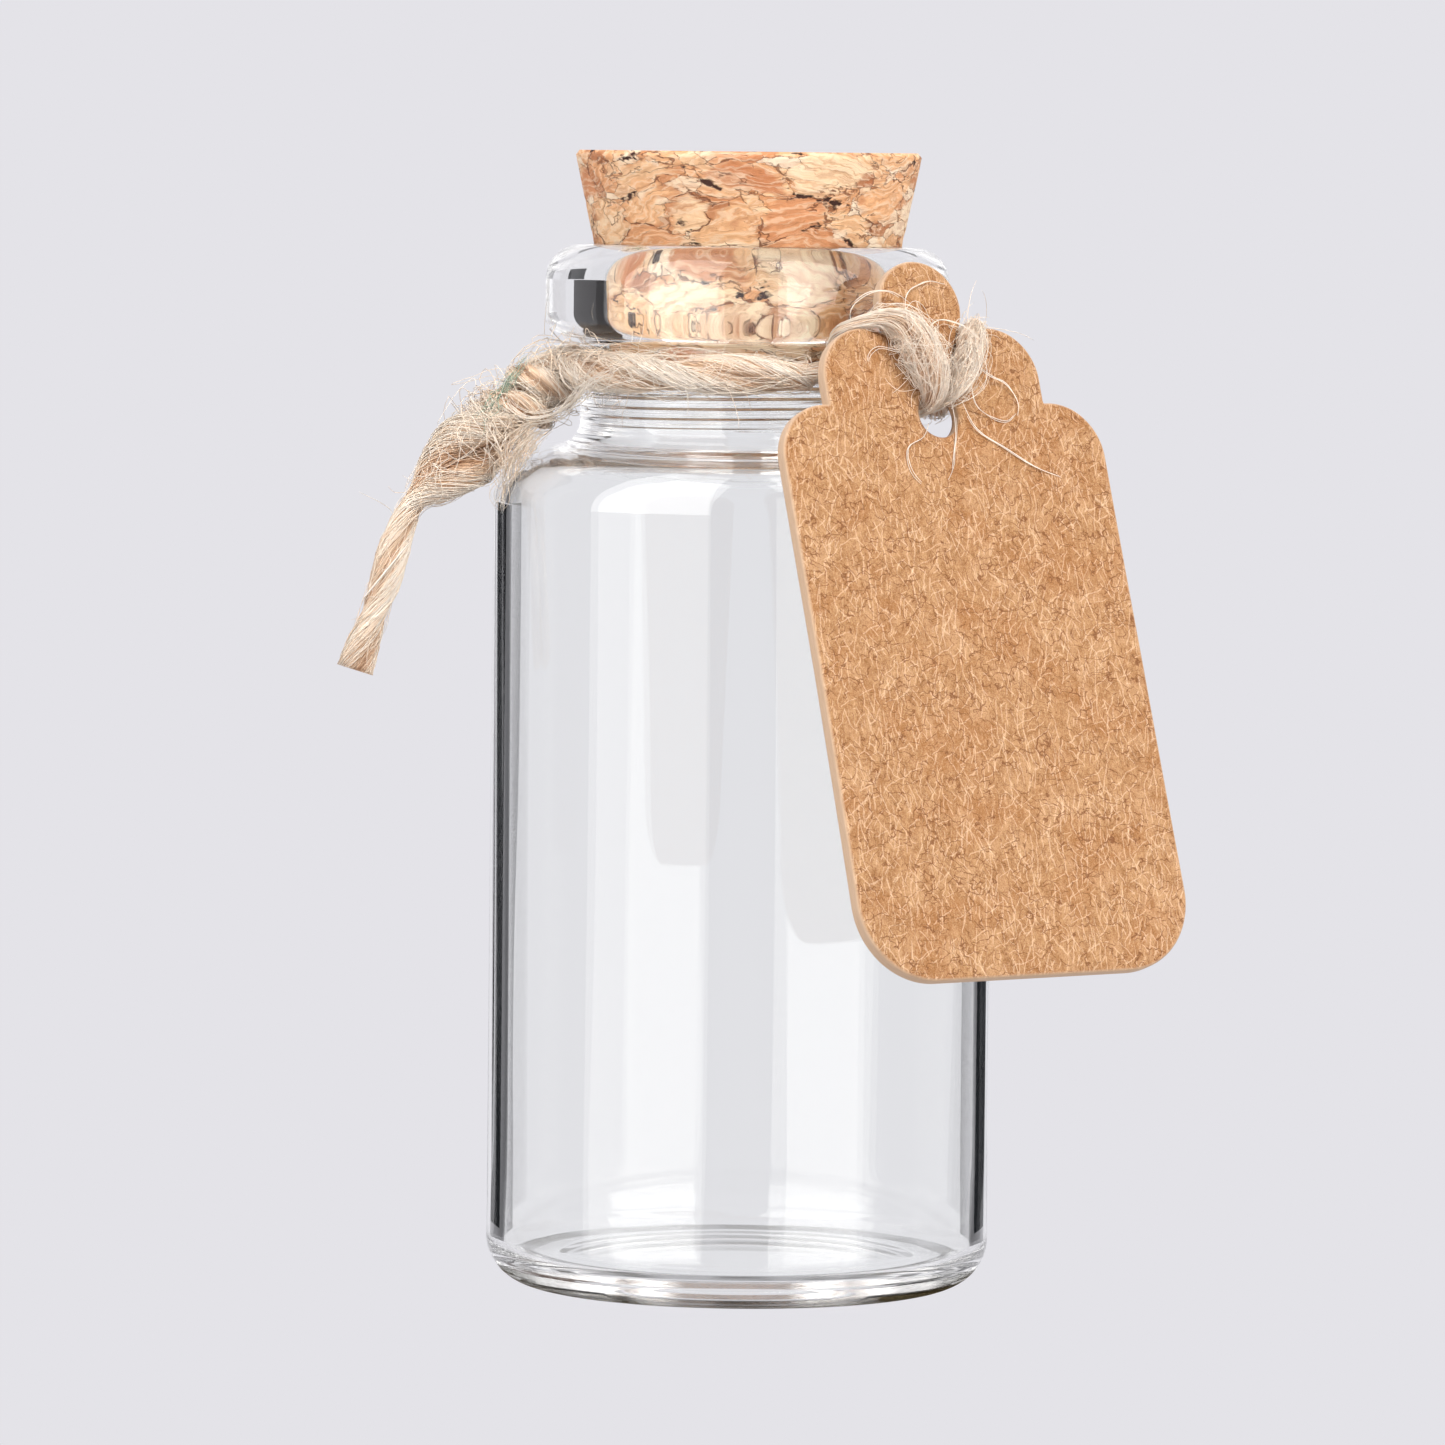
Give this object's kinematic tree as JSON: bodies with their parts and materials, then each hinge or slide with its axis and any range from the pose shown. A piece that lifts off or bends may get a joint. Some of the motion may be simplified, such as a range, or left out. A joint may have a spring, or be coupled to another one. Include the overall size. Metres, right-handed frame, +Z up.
{
  "type": "corked glass bottle",
  "caption": "Small clear glass bottle with a beaded rim, a tapered cork, a turn of jute twine knotted round its neck and a scalloped card tag tied to the twine.",
  "frame": {"origin": "centre of the glass base, on the surface that the bottle stands on", "axes": "+Z up along the bottle's axis, towards the cork; -Y towards the front, where the twine shows; +X towards the side that the tag hangs on"},
  "size_m": [0.0449, 0.0383, 0.0608],
  "materials": {
    "clear_glass": "gloss",
    "cork": "matte",
    "kraft_card": "matte",
    "jute": "matte"
  },
  "bodies": {
    "bottle": {"glass_bottle": "clear_glass", "front_twine": "jute", "back_twine": "jute", "twine_knot": "jute", "twine_tail": "jute"},
    "cork": {"cork_stopper": "cork"},
    "tag": {"paper_tag": "kraft_card", "tag_hitch": "jute"}
  },
  "joints": [
    {"name": "cork_pull", "type": "slide", "parent": "bottle", "child": "cork", "axis": [0, 0, 1], "range_m": [0, 0.03]},
    {"name": "tag_swing", "type": "hinge", "parent": "bottle", "child": "tag", "pos_m": [0.0099, -0.01169, 0.0471], "axis": [0.501, -0.8018, 0.3256], "range_deg": [-15, 15]}
  ]
}
